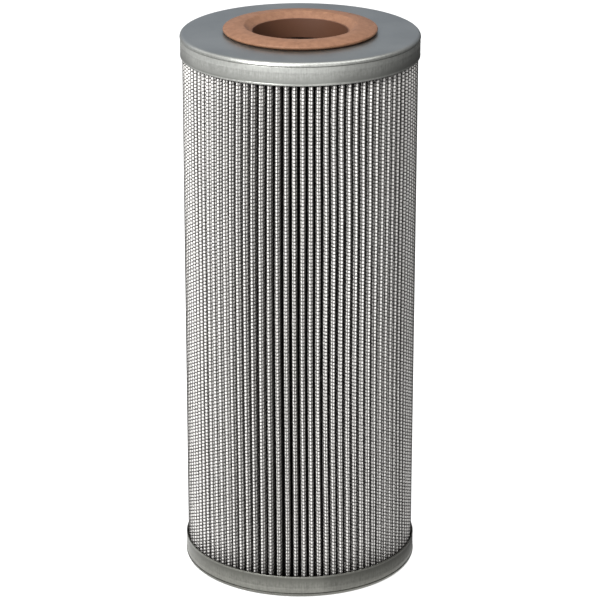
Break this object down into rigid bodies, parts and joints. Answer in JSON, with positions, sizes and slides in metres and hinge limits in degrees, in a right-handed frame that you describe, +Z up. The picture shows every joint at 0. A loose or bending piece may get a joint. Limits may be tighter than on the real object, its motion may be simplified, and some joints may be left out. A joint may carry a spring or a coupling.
{
  "type": "pleated hydraulic filter element",
  "caption": "Cylindrical pleated filter element: wire-cloth backed glass-fibre pleats between two drawn steel end caps, with a moulded rubber seal at the top.",
  "frame": {"origin": "centre of the bottom cap's underside", "axes": "+Z up along the element's axis, the front faces -Y"},
  "size_m": [0.099, 0.099, 0.2358],
  "materials": {
    "cap_steel": "drawn, plated, satin",
    "seal_rubber": "moulded, matt",
    "coated_wire": "woven, epoxy coated",
    "glass_fibre": "felted mat, matt",
    "tube_steel": "perforated sheet",
    "adhesive": "cured epoxy"
  },
  "bodies": {
    "root": {"top_end_cap": "cap_steel", "bottom_end_cap": "cap_steel", "seal_grommet": "seal_rubber", "wire_cloth": "coated_wire", "filter_media": "glass_fibre", "support_tube": "tube_steel", "top_potting": "adhesive", "bottom_potting": "adhesive", "side_seam": "adhesive"}
  },
  "joints": []
}
